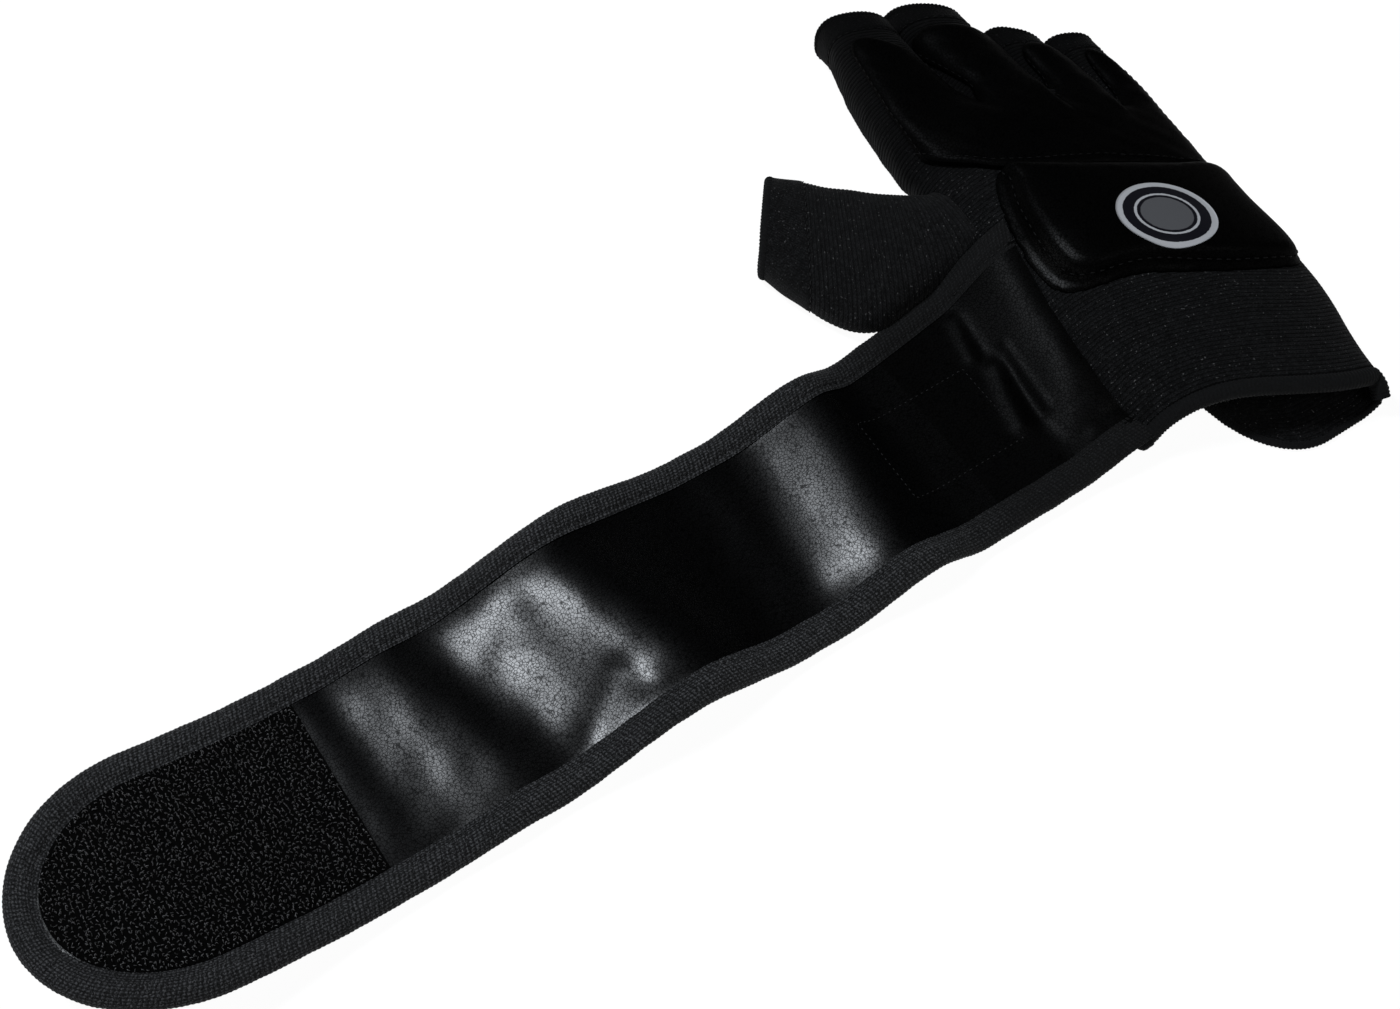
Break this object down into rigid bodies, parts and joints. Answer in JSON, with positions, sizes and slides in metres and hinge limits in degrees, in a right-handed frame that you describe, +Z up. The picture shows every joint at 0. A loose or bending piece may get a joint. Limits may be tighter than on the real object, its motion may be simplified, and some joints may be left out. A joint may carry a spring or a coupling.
{
  "type": "mixed martial arts glove",
  "caption": "Open-finger knit training glove with padded leatherette back and knuckles, open cuff, thumb sleeve and a long hook-ended wrist strap.",
  "frame": {"origin": "point under the middle of the palm, on the face that the glove rests on", "axes": "+X towards the little-finger side (the strap runs to -X), +Y along the hand to the finger ends, +Z up out of the back of the hand"},
  "size_m": [0.4188, 0.1979, 0.0322],
  "materials": {
    "knit": "matt ribbed knit",
    "hem": "matt rolled knit",
    "leatherette": "satin, fine grain",
    "foam": "matt open foam",
    "backing": "matt",
    "binding": "matt woven tape",
    "hooks": "fine glinting hooks",
    "loops": "matt loop pile",
    "print": "matt print"
  },
  "bodies": {
    "hand": {"palm_panel": "knit", "back_panel": "knit", "cuff_hem_back": "hem", "cuff_hem_palm": "hem", "back_pad_foam": "foam", "back_pad_cover": "leatherette", "knuckle_foam": "foam", "knuckle_cover": "leatherette", "badge": "print", "strap_root_backing": "backing", "strap_root_core": "foam", "strap_root_face": "leatherette", "strap_root_binding_finger_side": "binding", "strap_root_binding_cuff_side": "binding"},
    "index_finger": {"index_sleeve": "knit", "index_hem": "hem", "index_lobe": "leatherette"},
    "middle_finger": {"middle_sleeve": "knit", "middle_hem": "hem", "middle_lobe": "leatherette"},
    "ring_finger": {"ring_sleeve": "knit", "ring_hem": "hem", "ring_lobe": "leatherette"},
    "little_finger": {"little_sleeve": "knit", "little_hem": "hem", "little_lobe": "leatherette"},
    "thumb": {"thumb_sleeve": "knit", "thumb_hem": "hem"},
    "strap_1": {"strap_1_backing": "backing", "strap_1_core": "foam", "strap_1_face": "leatherette", "strap_1_binding_finger_side": "binding", "strap_1_binding_cuff_side": "binding", "loop_patch": "loops"},
    "strap_2": {"strap_2_backing": "backing", "strap_2_core": "foam", "strap_2_face": "leatherette", "strap_2_binding_finger_side": "binding", "strap_2_binding_cuff_side": "binding"},
    "strap_3": {"strap_3_backing": "backing", "strap_3_core": "foam", "strap_3_face": "leatherette", "strap_3_binding_finger_side": "binding", "strap_3_binding_cuff_side": "binding"},
    "strap_4": {"strap_4_backing": "backing", "strap_4_core": "foam", "strap_4_face": "leatherette", "strap_4_binding_finger_side": "binding", "strap_4_binding_cuff_side": "binding"},
    "strap_5": {"strap_5_backing": "backing", "strap_5_core": "foam", "strap_5_face": "leatherette", "strap_5_binding": "binding", "hook_patch": "hooks"}
  },
  "joints": [
    {"name": "index_knuckle", "type": "hinge", "parent": "hand", "child": "index_finger", "pos_m": [-0.0265, 0.064, 0], "axis": [-1, 0, 0], "range_deg": [0, 70]},
    {"name": "middle_knuckle", "type": "hinge", "parent": "hand", "child": "middle_finger", "pos_m": [0.001, 0.062, 0], "axis": [-1, 0, 0], "range_deg": [0, 70]},
    {"name": "ring_knuckle", "type": "hinge", "parent": "hand", "child": "ring_finger", "pos_m": [0.0206, 0.052, 0], "axis": [-1, 0, 0], "range_deg": [0, 70]},
    {"name": "little_knuckle", "type": "hinge", "parent": "hand", "child": "little_finger", "pos_m": [0.0363, 0.042, 0], "axis": [-1, 0, 0], "range_deg": [0, 70]},
    {"name": "thumb_base", "type": "hinge", "parent": "hand", "child": "thumb", "pos_m": [-0.0423, 0.0375, 0], "axis": [0, -1, 0], "range_deg": [0, 55]},
    {"name": "strap_fold_1", "type": "hinge", "parent": "hand", "child": "strap_1", "pos_m": [-0.062, -0.017, 0.0072], "axis": [0, 1, 0], "range_deg": [0, 50]},
    {"name": "strap_fold_2", "type": "hinge", "parent": "strap_1", "child": "strap_2", "pos_m": [-0.112, -0.017, 0.00965], "axis": [0, 1, 0], "range_deg": [0, 50]},
    {"name": "strap_fold_3", "type": "hinge", "parent": "strap_2", "child": "strap_3", "pos_m": [-0.17, -0.017, 0.01171], "axis": [0, 1, 0], "range_deg": [0, 50]},
    {"name": "strap_fold_4", "type": "hinge", "parent": "strap_3", "child": "strap_4", "pos_m": [-0.228, -0.017, 0.00945], "axis": [0, 1, 0], "range_deg": [0, 50]},
    {"name": "strap_fold_5", "type": "hinge", "parent": "strap_4", "child": "strap_5", "pos_m": [-0.285, -0.017, 0.0052], "axis": [0, 1, 0], "range_deg": [0, 50]}
  ]
}
